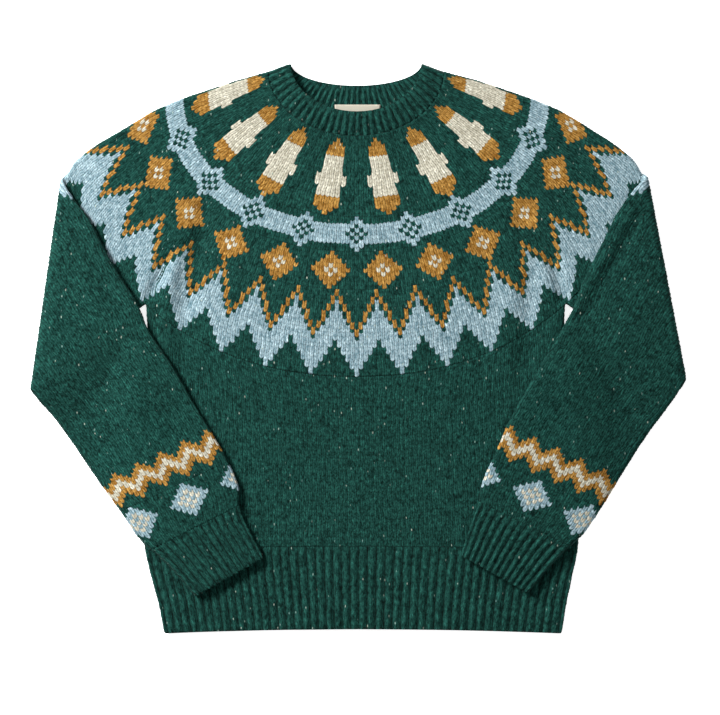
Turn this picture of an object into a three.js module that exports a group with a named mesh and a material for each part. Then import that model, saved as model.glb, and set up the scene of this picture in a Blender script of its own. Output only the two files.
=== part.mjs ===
// A fair isle jumper laid flat, face up, with both sleeves folded over its front.
//
// Millimetres. X runs to the right, Y runs from the hem to the neck and Z runs up from the
// surface that the jumper lies on. While the pieces are worked out Y = 0 is the hem and X = 0
// the centre line; the last lines centre the whole garment on the origin.
//
// Every piece is cloth with a real thickness. A row of points in plan says where the cloth
// runs, a section turns the row into the outside and the inside of the wall, and a piece is
// the solid between its first and its last row. The garment is knitted in the round, so the
// front and back of the yoke, body and neckband meet along the folds at the two sides.

import * as THREE from 'three';

// Driving sizes.
const WALL = 2.6; // the knitted cloth
const HOLLOW = 2.6; // air between the front and the back where the garment lies flat
const SEAM = 0.3; // between one piece and the next
const STACK = 2 * WALL + HOLLOW; // front and back together
const FOLD = STACK / 2; // outer radius of a folded edge
const ROLL = FOLD + 0.4; // middle radius of the turn where a sleeve folds over the front

const HEM_DEPTH = 100; // the ribbing at the bottom
const HEM_ARCH = 5; // how far the middle of the bottom edge lies above its corners
const BAND_DEPTH = 29; // the ribbing round the neck
const YOKE_DEPTH = 318; // from the top of the neckband to the last row of the yoke
const NECK_MIDDLE = -2; // the neck lies this far to the side of the centre line
const FRONT_NECK = 627; // height of the front neckband's top edge at its lowest
const BACK_NECK = 659; // the same for the back, which stands higher
const RING_CENTRE = 641; // the outer yoke rounds are rings about this height
const SQUARENESS = 2.15; // power of the outer rounds, where 2 is an ellipse
const SLEEVE_SHARE = 0.405; // of each half round of the yoke, the part that a sleeve takes

// Straight lengths along a half round of the yoke.
const SLEEVE_STEPS = 6;
const BODY_STEPS = 8;
const TURN_STEPS = [0, 45]; // degrees round a folded edge, before it lies flat

// The shoulder line, where the yoke folds from front to back. depth is the distance from the
// neckband's top edge, left and right the distances from the centre line, up the height.
const SHOULDER = [
  { depth: 0, left: 81, right: 76, up: 686 },
  { depth: 29, left: 108, right: 103, up: 676 },
  { depth: 69, left: 147, right: 144, up: 665 },
  { depth: 138, left: 213, right: 209, up: 643 },
  { depth: 175, left: 246, right: 243, up: 629 },
  { depth: 217, left: 282, right: 279, up: 607 },
  { depth: 256, left: 316, right: 310, up: 587 },
  { depth: 288, left: 339, right: 331, up: 569 },
  { depth: 318, left: 350, right: 341, up: 553 },
];

// The sides of the body from the bottom edge to the underarm.
const SIDES = [
  { up: 0, left: 234, right: 245 },
  { up: 32, left: 240, right: 250 },
  { up: 66, left: 249, right: 257 },
  { up: 100, left: 257, right: 264 },
  { up: 180, left: 257, right: 261 },
  { up: 290, left: 254, right: 252 },
  { up: 402, left: 250, right: 245 },
];

// Where each sleeve turns over, and the rows of the part that comes back over the front.
// in is the edge that lies on the front of the body, out is the edge of the elbow side.
const SLEEVES = {
  left: {
    crease: { inX: -359, inY: 540, outX: -393, outY: 305 },
    rows: [
      { inX: -342, inY: 522, outX: -386, outY: 282 },
      { inX: -321, inY: 494, outX: -370, outY: 263 },
      { inX: -298, inY: 452, outX: -354, outY: 242 },
      { inX: -274, inY: 412, outX: -341, outY: 223 },
      { inX: -252, inY: 367, outX: -329, outY: 206 },
      { inX: -230, inY: 331, outX: -320, outY: 192 },
      { inX: -206, inY: 293, outX: -310, outY: 179 },
      { inX: -183, inY: 253, outX: -298, outY: 163 },
      { inX: -164, inY: 217, outX: -285, outY: 145 },
      { inX: -148, inY: 190, outX: -267, outY: 122 },
      { inX: -143, inY: 156, outX: -240, outY: 94 },
    ],
    cuff: { inX: -113, inY: 92, outX: -196, outY: 45 },
  },
  right: {
    crease: { inX: 350, inY: 540, outX: 393, outY: 314 },
    rows: [
      { inX: 326, inY: 528, outX: 388, outY: 296 },
      { inX: 309, inY: 504, outX: 375, outY: 276 },
      { inX: 290, inY: 466, outX: 363, outY: 260 },
      { inX: 272, inY: 430, outX: 349, outY: 239 },
      { inX: 253, inY: 384, outX: 336, outY: 217 },
      { inX: 234, inY: 349, outX: 324, outY: 199 },
      { inX: 212, inY: 311, outX: 309, outY: 178 },
      { inX: 188, inY: 270, outX: 296, outY: 156 },
      { inX: 171, inY: 232, outX: 282, outY: 139 },
      { inX: 153, inY: 199, outX: 265, outY: 114 },
      { inX: 143, inY: 158, outX: 245, outY: 98 },
    ],
    cuff: { inX: 122, inY: 95, outX: 204, outY: 49 },
  },
};

// The small woven label inside the back of the neck.
const LABEL = { width: 55, height: 24, thick: 0.5, top: 636, middle: -1 };

// Colours, roughness and metalness.
const GREEN = { color: 0x1d4c45, roughness: 0.95, metalness: 0 };
const PATTERNED = { color: 0x7f8f78, roughness: 0.95, metalness: 0 };
const CREAM = { color: 0xe2dcc9, roughness: 0.85, metalness: 0 };

/** The value of column name in a table where column key is at, joined by straight lines. */
function lookUp(table, key, at, name) {
  let i = 1;
  while (i < table.length - 1 && table[i][key] < at) i++;
  const [a, b] = [table[i - 1], table[i]];
  return THREE.MathUtils.mapLinear(at, a[key], b[key], a[name], b[name]);
}

/** The points of a curve at the given shares of its length. */
function atShares(curve, shares) {
  curve.arcLengthDivisions = 400;
  return shares.map((share) => curve.getPointAt(share));
}

// Shares of a half round, from the shoulder to the centre line.
const HALF_SHARES = [
  ...Array.from({ length: SLEEVE_STEPS }, (_, i) => (SLEEVE_SHARE * i) / SLEEVE_STEPS),
  ...Array.from({ length: BODY_STEPS + 1 }, (_, i) =>
    SLEEVE_SHARE + ((1 - SLEEVE_SHARE) * i) / BODY_STEPS),
];

/**
 * One round of the yoke on the front or the back, from the left shoulder to the right one.
 * Each half is a part of a squarish ellipse that starts on the shoulder line and is level at
 * the centre line: x = middle -+ across * cos(angle) ** k, y = centre - down * sin(angle) ** k,
 * with k = 2 / power, and the power grows from 2 at the neck to SQUARENESS.
 */
function yokeRound(depth, isFront) {
  const up = lookUp(SHOULDER, 'depth', depth, 'up');
  const centre = Math.max(up, RING_CENTRE);
  const backStretch = (BACK_NECK - FRONT_NECK) / YOKE_DEPTH;
  const lowest = isFront ? FRONT_NECK - depth : BACK_NECK - depth * (1 + backStretch);
  const down = centre - lowest;
  const power = 2 + (SQUARENESS - 2) * THREE.MathUtils.smoothstep(depth, 0, 138);
  const bent = (value) => Math.max(value, 0) ** (2 / power);
  const half = (side) => {
    const out = lookUp(SHOULDER, 'depth', depth, side < 0 ? 'left' : 'right');
    const start = Math.asin(((centre - up) / down) ** (power / 2));
    const across = (out + side * -NECK_MIDDLE) / bent(Math.cos(start));
    const points = [];
    for (let i = 0; i <= 60; i++) {
      const angle = THREE.MathUtils.lerp(start, Math.PI / 2, i / 60);
      const x = NECK_MIDDLE + side * across * bent(Math.cos(angle));
      points.push(new THREE.Vector3(x, centre - down * bent(Math.sin(angle)), FOLD));
    }
    return atShares(new THREE.CatmullRomCurve3(points), HALF_SHARES);
  };
  return [...half(-1), ...half(1).reverse().slice(1)];
}

/** A row of points from a to b with the given number of steps. */
function straightRow(a, b, steps) {
  return Array.from({ length: steps + 1 }, (_, i) => a.clone().lerp(b, i / steps));
}

/** The row that lies share of the way from one row to another. */
function between(rowA, rowB, share) {
  return rowA.map((point, i) => point.clone().lerp(rowB[i], share));
}

/**
 * Half a flattened tube over a row of points. The outside runs round the fold at the row's
 * start, flat above the row and round the fold at its end; the inside is one wall thickness
 * nearer. axis is the direction that the cloth lies away from the middle of the stack.
 */
function halfSection(row, axis, split) {
  const last = row.length - 1;
  const startWay = row[1].clone().sub(row[0]).normalize();
  const endWay = row[last].clone().sub(row[last - 1]).normalize();
  const outer = [];
  const inner = [];
  const add = (point, normal) => {
    outer.push(point);
    inner.push(point.clone().addScaledVector(normal, -WALL));
  };
  const fold = (tip, way, degrees) => {
    const angle = THREE.MathUtils.degToRad(degrees);
    const rise = Math.max(FOLD * Math.sin(angle), split);
    const point = tip.clone().addScaledVector(way, -FOLD * (1 - Math.cos(angle)));
    point.addScaledVector(axis, rise);
    const normal = way.clone().multiplyScalar(Math.cos(angle));
    add(point, normal.addScaledVector(axis, Math.sin(angle)));
  };
  const backwards = startWay.clone().negate();
  for (const degrees of [...TURN_STEPS, 90]) fold(row[0], backwards, degrees);
  for (let i = 1; i < last; i++) add(row[i].clone().addScaledVector(axis, FOLD), axis);
  for (const degrees of [90, ...TURN_STEPS.toReversed()]) fold(row[last], endWay, degrees);
  return { outer, inner };
}

/** A whole flattened tube over a row: the half on the axis side, then back along the other. */
function tubeSection(row, axis) {
  const top = halfSection(row, axis, 0);
  const below = halfSection(row, axis.clone().negate(), 0);
  const round = (a, b) => [...a, ...b.slice(1, -1).reverse()];
  return { outer: round(top.outer, below.outer), inner: round(top.inner, below.inner) };
}

/** The closed solid between the sections of a piece; isTube joins each section to itself. */
function clothSolid(sections, isTube) {
  const across = sections[0].outer.length;
  const rows = sections.length;
  const position = [];
  for (const side of ['outer', 'inner'])
    for (const section of sections)
      for (const p of section[side]) position.push(p.x, p.y, p.z);
  const at = (side, r, c) => (side * rows + r) * across + (c % across);
  const index = [];
  const quad = (a, b, c, d) => index.push(a, b, c, a, c, d);
  const steps = isTube ? across : across - 1;
  for (let c = 0; c < steps; c++) {
    for (let r = 0; r + 1 < rows; r++) {
      quad(at(0, r, c), at(0, r, c + 1), at(0, r + 1, c + 1), at(0, r + 1, c));
      quad(at(1, r, c), at(1, r + 1, c), at(1, r + 1, c + 1), at(1, r, c + 1));
    }
    quad(at(0, 0, c), at(1, 0, c), at(1, 0, c + 1), at(0, 0, c + 1));
    const r = rows - 1;
    quad(at(0, r, c), at(0, r, c + 1), at(1, r, c + 1), at(1, r, c));
  }
  if (!isTube)
    for (let r = 0; r + 1 < rows; r++) {
      quad(at(0, r, 0), at(0, r + 1, 0), at(1, r + 1, 0), at(1, r, 0));
      const c = across - 1;
      quad(at(0, r, c), at(1, r, c), at(1, r + 1, c), at(0, r + 1, c));
    }
  const geometry = new THREE.BufferGeometry();
  geometry.setAttribute('position', new THREE.Float32BufferAttribute(position, 3));
  geometry.setIndex(enclosed(position, index) > 0 ? index : index.toReversed());
  geometry.computeVertexNormals();
  return geometry;
}

/** Six times the volume inside a mesh, above zero when its faces point outwards. */
function enclosed(position, index) {
  const corner = (i) => new THREE.Vector3().fromArray(position, 3 * index[i]);
  let sum = 0;
  for (let i = 0; i < index.length; i += 3)
    sum += corner(i).dot(corner(i + 1).cross(corner(i + 2)));
  return sum;
}

const UP = new THREE.Vector3(0, 0, 1);
const DOWN = new THREE.Vector3(0, 0, -1);
const pieces = new THREE.Group();

function addPiece(name, geometry, look) {
  const mesh = new THREE.Mesh(geometry, new THREE.MeshStandardMaterial(look));
  mesh.name = name;
  pieces.add(mesh);
}

/** A front or a back panel over a list of rows. */
function addPanel(name, rows, isFront, look) {
  const axis = isFront ? UP : DOWN;
  addPiece(name, clothSolid(rows.map((row) => halfSection(row, axis, SEAM / 2)), false), look);
}

// Neckband and yoke.
const bandDepths = [0, BAND_DEPTH / 2, BAND_DEPTH - SEAM];
const yokeDepths = [BAND_DEPTH, 55, 90, 125, 165, 205, 245, 285, YOKE_DEPTH];
for (const [place, isFront] of [['front', true], ['back', false]]) {
  addPanel(`neckband_${place}`, bandDepths.map((d) => yokeRound(d, isFront)), isFront, GREEN);
  addPanel(`yoke_${place}`, yokeDepths.map((d) => yokeRound(d, isFront)), isFront, PATTERNED);
}

// The last round of the yoke, split where the underarms are, and moved one seam further down.
const last = yokeRound(YOKE_DEPTH, true);
const centrePoint = new THREE.Vector3(NECK_MIDDLE, RING_CENTRE, FOLD);
for (const point of last) {
  const way = point.clone().sub(centrePoint).normalize();
  point.addScaledVector(way, SEAM + 0.1);
}
const end = last.length - 1;
const bodyTop = last.slice(SLEEVE_STEPS, end - SLEEVE_STEPS + 1);
const joins = {
  left: last.slice(0, SLEEVE_STEPS + 1),
  right: last.slice(end - SLEEVE_STEPS).reverse(),
};

/** Moves both ends of a row in by a distance, so that two pieces at an underarm stay apart. */
function shortened(row, startBy, endBy) {
  const short = row.map((point) => point.clone());
  const n = short.length - 1;
  const pull = (i, j, by) =>
    short[i].addScaledVector(row[j].clone().sub(row[i]).normalize(), by);
  pull(0, 1, startBy);
  pull(n, n - 1, endBy);
  return short;
}

// Body, from the ribbing to the yoke. The rows bend gradually into the curve of the yoke.
const bodySteps = bodyTop.length - 1;
function levelRow(up, arch) {
  const a = new THREE.Vector3(-lookUp(SIDES, 'up', up, 'left'), up, FOLD);
  const b = new THREE.Vector3(lookUp(SIDES, 'up', up, 'right'), up, FOLD);
  const row = straightRow(a, b, bodySteps);
  row.forEach((point, i) => {
    const share = (2 * i) / bodySteps - 1;
    point.y += arch * (1 - share * share);
  });
  return row;
}
const underarm = shortened(bodyTop, 1, 1);
const bodyRows = [0, 0.15, 0.35, 0.55, 0.75, 0.9].map((share) => {
  const bottom = levelRow(HEM_DEPTH + SEAM, HEM_ARCH);
  const row = between(bottom, underarm, share);
  const sideUp = row[0].y;
  row[0].x = -lookUp(SIDES, 'up', sideUp, 'left');
  row[bodySteps].x = lookUp(SIDES, 'up', row[bodySteps].y, 'right');
  return row;
});
bodyRows.push(underarm);
addPanel('body_front', bodyRows, true, GREEN);
addPanel('body_back', bodyRows, false, GREEN);

// Hem ribbing, one tube.
const hemRows = [0, 32, 66, HEM_DEPTH].map((up) => levelRow(up, HEM_ARCH));
addPiece('hem_rib', clothSolid(hemRows.map((row) => tubeSection(row, UP)), true), GREEN);

/**
 * How far the part of a sleeve that comes over sinks at a point: not at all where the body or
 * the sleeve's own first part is under it, and down to the surface a little way outside both.
 */
function sink(point, side, corner, elbow) {
  const outsideBody = Math.abs(point.x) - lookUp(SIDES, 'up', point.y, side);
  const along = elbow.clone().sub(corner).normalize();
  const away = point.clone().sub(corner);
  const below = (side === 'left' ? -1 : 1) * (along.x * away.y - along.y * away.x);
  const outside = Math.min(outsideBody, -below);
  return 2 * ROLL * THREE.MathUtils.smoothstep(outside, 10, 40);
}

// Sleeves and cuffs. A sleeve leaves the yoke flat, turns over along its crease and comes back
// over the front with its back side up.
const sleeveSteps = SLEEVE_STEPS + 3;
for (const [side, shape] of Object.entries(SLEEVES)) {
  const point = (row, which) => new THREE.Vector3(row[`${which}X`], row[`${which}Y`], FOLD);
  const join = shortened(joins[side], 0, 1.2);
  // The join keeps the yoke's own points and gains three more, halfway along its last steps.
  const joinRow = [...join];
  for (const i of [5, 3, 1]) joinRow.splice(i, 0, join[i - 1].clone().lerp(join[i], 0.5));
  const creaseIn = point(shape.crease, 'in');
  const creaseOut = point(shape.crease, 'out');
  const along = creaseOut.clone().sub(creaseIn).normalize();
  const outward = new THREE.Vector3(side === 'left' ? -1 : 1, 0, 0);
  outward.addScaledVector(along, -outward.dot(along)).normalize();
  const crease = straightRow(creaseIn, creaseOut, sleeveSteps);
  const sections = [];
  const turn = (degrees) => {
    const angle = THREE.MathUtils.degToRad(degrees);
    const axis = UP.clone().multiplyScalar(Math.cos(angle));
    axis.addScaledVector(outward, -Math.sin(angle));
    const row = crease.map((p) => {
      const moved = p.clone().addScaledVector(outward, -(ROLL + FOLD) + ROLL * Math.sin(angle));
      moved.z += ROLL * (1 - Math.cos(angle));
      return moved;
    });
    return [row, axis];
  };
  const [creaseRow] = turn(0);
  for (const share of [0, 0.33, 0.67])
    sections.push(tubeSection(between(joinRow, creaseRow, share), UP));
  for (const degrees of [0, 36, 72, 108, 144, 180])
    sections.push(tubeSection(...turn(degrees)));
  const laidRow = (from, to) => {
    const row = straightRow(from, to, sleeveSteps);
    for (const p of row) {
      p.z = FOLD + 2 * ROLL;
      p.z -= sink(p, side, join.at(-1), creaseOut);
    }
    return row;
  };
  for (const row of shape.rows)
    sections.push(tubeSection(laidRow(point(row, 'in'), point(row, 'out')), DOWN));
  addPiece(`sleeve_${side}`, clothSolid(sections, true), GREEN);

  // The cuff starts one seam further on and narrows to its end.
  const lastRow = shape.rows.at(-1);
  const cuffSections = [0, 0.33, 0.67, 1].map((share) => {
    const ends = ['in', 'out'].map((which) => {
      const from = point(lastRow, which);
      const to = point(shape.cuff, which);
      const way = to.clone().sub(from).normalize();
      return from.addScaledVector(way, SEAM + 0.1).lerp(to, share);
    });
    return tubeSection(laidRow(...ends), DOWN);
  });
  addPiece(`cuff_${side}`, clothSolid(cuffSections, true), GREEN);
}

// Label, on the inside of the back.
const label = new THREE.BoxGeometry(LABEL.width, LABEL.height, LABEL.thick);
label.translate(LABEL.middle, LABEL.top - LABEL.height / 2, WALL + SEAM + LABEL.thick / 2);
addPiece('label', label, CREAM);

// Centre the garment in plan and stand it on Z = 0.
const bounds = new THREE.Box3().setFromObject(pieces);
const middle = bounds.getCenter(new THREE.Vector3());
for (const mesh of pieces.children) mesh.geometry.translate(-middle.x, -middle.y, -bounds.min.z);

export default pieces;
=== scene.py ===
# %% [markdown]
# # A fair isle jumper, laid flat with its sleeves folded over
#
# The jumper is knitted in the round from heathered wool. The CAD frame gives its cut: which
# pieces there are, where they lie and how thick the cloth is. Here every piece becomes real
# knitting: a thin shell of cloth whose stitches are modelled one by one, each with the colour
# of the yarn that a knitter would use for it.

import bpy
import numpy as np
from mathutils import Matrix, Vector


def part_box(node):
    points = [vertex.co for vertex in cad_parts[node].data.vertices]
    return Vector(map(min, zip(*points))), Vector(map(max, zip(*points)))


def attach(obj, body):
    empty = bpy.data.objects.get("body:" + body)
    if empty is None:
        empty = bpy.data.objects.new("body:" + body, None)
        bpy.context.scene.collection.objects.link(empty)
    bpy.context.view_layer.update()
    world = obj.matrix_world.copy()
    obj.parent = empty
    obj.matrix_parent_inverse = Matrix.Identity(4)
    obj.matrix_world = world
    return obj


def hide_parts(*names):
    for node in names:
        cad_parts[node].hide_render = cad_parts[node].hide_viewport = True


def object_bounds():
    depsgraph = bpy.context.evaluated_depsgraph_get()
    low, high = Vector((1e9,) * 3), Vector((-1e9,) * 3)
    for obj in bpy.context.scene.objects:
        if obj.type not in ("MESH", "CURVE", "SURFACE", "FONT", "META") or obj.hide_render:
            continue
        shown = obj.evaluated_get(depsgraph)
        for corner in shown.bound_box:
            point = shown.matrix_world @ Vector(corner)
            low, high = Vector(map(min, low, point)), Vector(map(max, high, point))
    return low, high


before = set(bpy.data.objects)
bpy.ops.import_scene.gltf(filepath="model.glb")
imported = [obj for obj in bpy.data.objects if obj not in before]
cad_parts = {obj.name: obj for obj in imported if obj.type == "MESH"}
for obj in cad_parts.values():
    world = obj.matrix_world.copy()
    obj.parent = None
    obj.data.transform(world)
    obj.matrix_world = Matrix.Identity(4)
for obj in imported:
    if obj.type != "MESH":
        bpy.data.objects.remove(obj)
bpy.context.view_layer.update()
MM = 0.001

# %% [markdown]
# ## Where things are
#
# The lengths below are the maker's own: heights are counted from the hem and widths from the
# centre line, both in millimetres, because that is how a jumper is measured. One function
# turns them into the metres of the frame at the very end. The thickness of the whole stack and
# the radii of its folds come from the boxes of the CAD pieces, so the knitting cannot drift off
# them.

# %% Levels of the cloth
hem_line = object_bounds()[0][1] / MM  # the height of the hem in the frame
centre_line = (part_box("yoke_front")[0][0] / MM) + 350  # the CAD shoulder is 350 mm out
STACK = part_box("body_front")[1][2] / MM  # front and back, one on the other
FOLD = STACK / 2  # radius of a folded edge
ROLL = (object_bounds()[1][2] / MM - STACK) / 2  # radius at which a sleeve turns over
CLOTH = 2.2  # the yarn's thickness without the raised legs of the stitches
HEM_DEPTH, HEM_ARCH = 100, 5
BAND_DEPTH, YOKE_DEPTH = 29, 318
print(f"stack {STACK:.1f} mm, fold {FOLD:.1f} mm, roll {ROLL:.2f} mm")


# %% Smooth curves through a few points
def smooth_curve(at, known_at, known):
    """A cubic through known points: between two of them the slope runs from the mean slope
    at the first to the mean slope at the second, which leaves no corners."""
    known_at, known = np.asarray(known_at, float), np.asarray(known, float)
    slope = np.gradient(known, known_at)
    i = np.clip(np.searchsorted(known_at, at) - 1, 0, len(known_at) - 2)
    width = known_at[i + 1] - known_at[i]
    t = np.clip((at - known_at[i]) / width, -0.3, 1.3)
    return (
        (2 * t**3 - 3 * t**2 + 1) * known[i]
        + (t**3 - 2 * t**2 + t) * width * slope[i]
        + (3 * t**2 - 2 * t**3) * known[i + 1]
        + (t**3 - t**2) * width * slope[i + 1]
    )


def smoothstep(value, low, high):
    """0 below low, 1 above high, and 3t^2 - 2t^3 in between."""
    t = np.clip((value - low) / (high - low), 0, 1)
    return t * t * (3 - 2 * t)


# %% [markdown]
# ## The rounds of the yoke
#
# A round yoke is a set of rings about the neck. Laid flat, each ring folds at the two
# shoulders, and its front half is a squarish half ellipse. The same rule is in the CAD
# source, so the knitting follows the solids; only the rounds near the neck are drawn a little
# rounder here, to bring the motifs to their places. Because the curve has no simple formula for its
# length, it is tabulated once, evenly along its length, and read back between the entries.

# %% Rings about the neck
SHOULDER = {  # distance from the neck, then the shoulder's place on the left and right
    "depth": [0, 29, 69, 138, 175, 217, 256, 288, 318],
    "left": [81, 108, 147, 213, 246, 282, 316, 339, 350],
    "right": [76, 103, 144, 209, 243, 279, 310, 331, 341],
    "up": [686, 676, 665, 643, 629, 607, 587, 569, 553],
}
NECK_MIDDLE, FRONT_NECK, BACK_NECK, RING_CENTRE = -2, 627, 659, 641
SQUARENESS = 2.15  # the power of the outer rounds, where 2 is an ellipse
DEPTHS = np.linspace(-4, 326, 111)
SHARES = np.linspace(-1, 1, 241)


def ring_table(front):
    """Points of each ring, evenly spaced from the left shoulder (-1) to the right one (1):
    x = across * cos(a)^k and y = centre - down * sin(a)^k on each side of the neck."""
    x = np.empty((len(DEPTHS), len(SHARES)))
    y, half_length = np.empty_like(x), np.empty((len(DEPTHS), 2))
    for row, depth in enumerate(DEPTHS):
        up = np.interp(depth, SHOULDER["depth"], SHOULDER["up"])
        centre = max(up, RING_CENTRE)
        lowest = FRONT_NECK - depth
        if not front:
            lowest = BACK_NECK - depth * (1 + (BACK_NECK - FRONT_NECK) / YOKE_DEPTH)
        down = centre - lowest
        power = 2 + (SQUARENESS - 2) * smoothstep(depth, 110, 210)
        start = np.arcsin(((centre - up) / down) ** (power / 2))
        angle = np.linspace(start, np.pi / 2, 200)
        for side, name in ((-1, "left"), (1, "right")):
            out = smooth_curve(depth, SHOULDER["depth"], SHOULDER[name]) - side * NECK_MIDDLE
            across = out / np.cos(start) ** (2 / power)
            px = NECK_MIDDLE + side * across * np.cos(angle) ** (2 / power)
            py = centre - down * np.sin(angle) ** (2 / power)
            length = np.concatenate([[0], np.cumsum(np.hypot(np.diff(px), np.diff(py)))])
            half_length[row, int(side > 0)] = length[-1]
            chosen = SHARES * side >= 0
            place = (1 - np.abs(SHARES[chosen])) * length[-1]
            x[row, chosen] = np.interp(place, length, px)
            y[row, chosen] = np.interp(place, length, py)
    return x, y, half_length


rings = {front: ring_table(front) for front in (True, False)}


def read_table(table, share, depth):
    """The table's value between its four nearest entries."""
    column = np.clip((share + 1) / (SHARES[1] - SHARES[0]), 0, len(SHARES) - 1.001)
    row = np.clip((depth - DEPTHS[0]) / (DEPTHS[1] - DEPTHS[0]), 0, len(DEPTHS) - 1.001)
    i, j = row.astype(int), column.astype(int)
    di, dj = row - i, column - j
    upper = table[i, j] * (1 - dj) + table[i, j + 1] * dj
    lower = table[i + 1, j] * (1 - dj) + table[i + 1, j + 1] * dj
    return upper * (1 - di) + lower * di


print("front ring at the last round:", rings[True][2][-4].round().tolist(), "mm a side")


# %% [markdown]
# ## Cloth that runs round a fold
#
# A tube laid flat turns over at both edges in a small half circle. Walking along the cloth
# from the very edge, the first quarter turn rises from the middle of the stack to its top,
# and after that the cloth lies flat.

# %% Folded edges
def round_fold(cloth):
    """How far in from the edge, and how far above the middle, the cloth is after walking
    this distance over it from the edge: radius * (1 - cos) and radius * sin, then straight."""
    turn = np.clip(cloth / FOLD, -np.pi / 2, np.pi / 2)
    past = np.maximum(np.abs(cloth) - FOLD * np.pi / 2, 0)
    return FOLD * (1 - np.cos(turn)) + past, FOLD * np.sin(turn)


SPARE = FOLD * (np.pi / 2 - 1)  # cloth that a fold uses beyond its width in plan


def split_share(across):
    """Which side of the centre line a stitch is on, and its share of cloth to the edge."""
    side = np.where(across < 0, -1.0, 1.0)
    return side, 1 - np.abs(across)


# %% [markdown]
# ## Soft troughs and ridges
#
# Wool lies quietly, but it is never flat. The folds that show are placed one by one, as a maker
# would smooth them out with a palm: each is a line with a width and a height, and the cloth
# rises or dips along it like a bell curve. A slow wobble everywhere else keeps long edges and
# plain stretches from looking ironed.

# %% Creases of the front
CREASES = [  # x and y of both ends, half width, height; a trough is negative
    (-183, 518, -190, 470, 13, -2.8),
    (-190, 470, -203, 400, 12, -2.6),
    (-228, 452, -251, 404, 7, -2.8),
    (-204, 486, -214, 474, 20, 1.4),
    (-218, 452, -232, 400, 8, 1.6),
    (-211, 428, -208, 330, 10, -1.8),
    (-228, 400, -232, 320, 9, 1.4),
    (196, 496, 232, 450, 13, -2.6),
    (236, 446, 246, 404, 7, -2.8),
    (216, 500, 246, 470, 14, 1.2),
    (222, 440, 232, 404, 8, 1.4),
    (206, 430, 200, 320, 11, -1.8),
    (186, 420, 178, 320, 13, 1.2),
    (-60, 205, -20, 150, 30, -0.8),
    (70, 250, 120, 190, 34, 0.9),
]


def creases(x, y, table):
    """The sum of height * exp(-(distance to the line / half width)^2)."""
    total = np.zeros_like(x)
    for x0, y0, x1, y1, width, height in table:
        dx, dy = x1 - x0, y1 - y0
        along = np.clip(((x - x0) * dx + (y - y0) * dy) / (dx * dx + dy * dy), 0, 1)
        distance = np.hypot(x - x0 - along * dx, y - y0 - along * dy)
        total += height * np.exp(-((distance / width) ** 2))
    return total


def wobble(x, y, seed):
    """A slow uneven swell from a few crossing waves of 60 to 200 mm."""
    draw = np.random.default_rng(seed)
    total = np.zeros_like(x)
    for _ in range(7):
        way, wave = draw.uniform(0, 2 * np.pi), draw.uniform(60, 200)
        phase = draw.uniform(0, 2 * np.pi)
        total += np.sin((x * np.cos(way) + y * np.sin(way)) * 2 * np.pi / wave + phase)
    return total / 7


def swell(x, y, top):
    """What lifts the upper side of the stack: the listed creases and the slow wobble."""
    return np.where(top, creases(x, y, CREASES) + 1.1 * wobble(x, y, 3), 0.0)


# %% Yoke and neckband in plan and height
NECK_STANDS, NECK_SLOPE = 6.0, 50  # how far the front of the neck stands off, and over what


def yoke_cloth(across, depth, front):
    """Where a point of the yoke is. across runs from the left fold (-1) to the right one (1),
    and a little beyond, where the cloth turns under; depth is the way from the neck."""
    side, reach = split_share(across)
    table_x, table_y, lengths = rings[front]
    length = np.where(
        side < 0,
        np.interp(depth, DEPTHS, lengths[:, 0]),
        np.interp(depth, DEPTHS, lengths[:, 1]),
    )
    inset, rise = round_fold(reach * (length + SPARE))
    share = side * (1 - inset / length)
    x, y = read_table(table_x, share, depth), read_table(table_y, share, depth)
    height = FOLD + (rise if front else -rise)
    if front:
        stands_off = NECK_STANDS * (1 - smoothstep(depth, 0, NECK_SLOPE))
        height = height + (swell(x, y, rise > 0) + stands_off) * smoothstep(rise, 0, FOLD)
    return np.stack([x, y, height], -1)


# %% Body and hem in plan and height
SIDES = {
    "up": [-5, 0, 32, 66, 100, 180, 290, 402, 440],
    "left": [233, 234, 240, 249, 257, 257, 254, 250, 249],
    "right": [244, 245, 250, 257, 264, 261, 252, 245, 244],
}
UNDERARM = 0.595  # the share of the last ring, from the centre line, that the body takes
BODY_HALF = 250.0  # half the width of the body, for the size of its folds


def body_cloth(across, drop, front):
    """Where a point of the body is. drop is 0 at the yoke's last ring and 1 at the top of the
    hem's ribbing; it goes on below that at the same rate. The rows start as the ring's curve
    and straighten evenly as they go down, while the sides find their line sooner."""
    side, reach = split_share(across)
    inset, rise = round_fold(reach * (BODY_HALF + SPARE))
    share = side * (1 - inset / BODY_HALF)
    ring_x = read_table(rings[front][0], share * UNDERARM, np.full_like(share, YOKE_DEPTH))
    ring_y = read_table(rings[front][1], share * UNDERARM, np.full_like(share, YOKE_DEPTH))
    straight = np.clip(drop, 0, 1)
    level = HEM_DEPTH + HEM_ARCH * (1 - share**2)
    y = ring_y + (level - ring_y) * straight - (drop - straight) * HEM_DEPTH
    left, right = (smooth_curve(y, SIDES["up"], SIDES[name]) for name in ("left", "right"))
    settled = 1 - (1 - straight) ** 4
    x = ring_x + (share * np.where(side < 0, left, right) - ring_x) * settled
    height = FOLD + (rise if front else -rise)
    if front:
        height = height + swell(x, y, rise > 0) * smoothstep(rise, 0, FOLD)
    return np.stack([x, y, height], -1)


def round_tube(cloth_side):
    """A whole tube from the two sides of a flat one: across runs from -1 to 1 on the front
    and on from 1 to 3 on the back, where it ends at the left fold again."""

    def tube(across, along):
        """The front as it is, and the back with its stitches counted the other way."""
        behind = across > 1
        onto = np.where(behind, 2 - across, across)
        point = cloth_side(onto, along, True)
        return np.where(behind[..., None], cloth_side(onto, along, False), point)

    return tube


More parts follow.
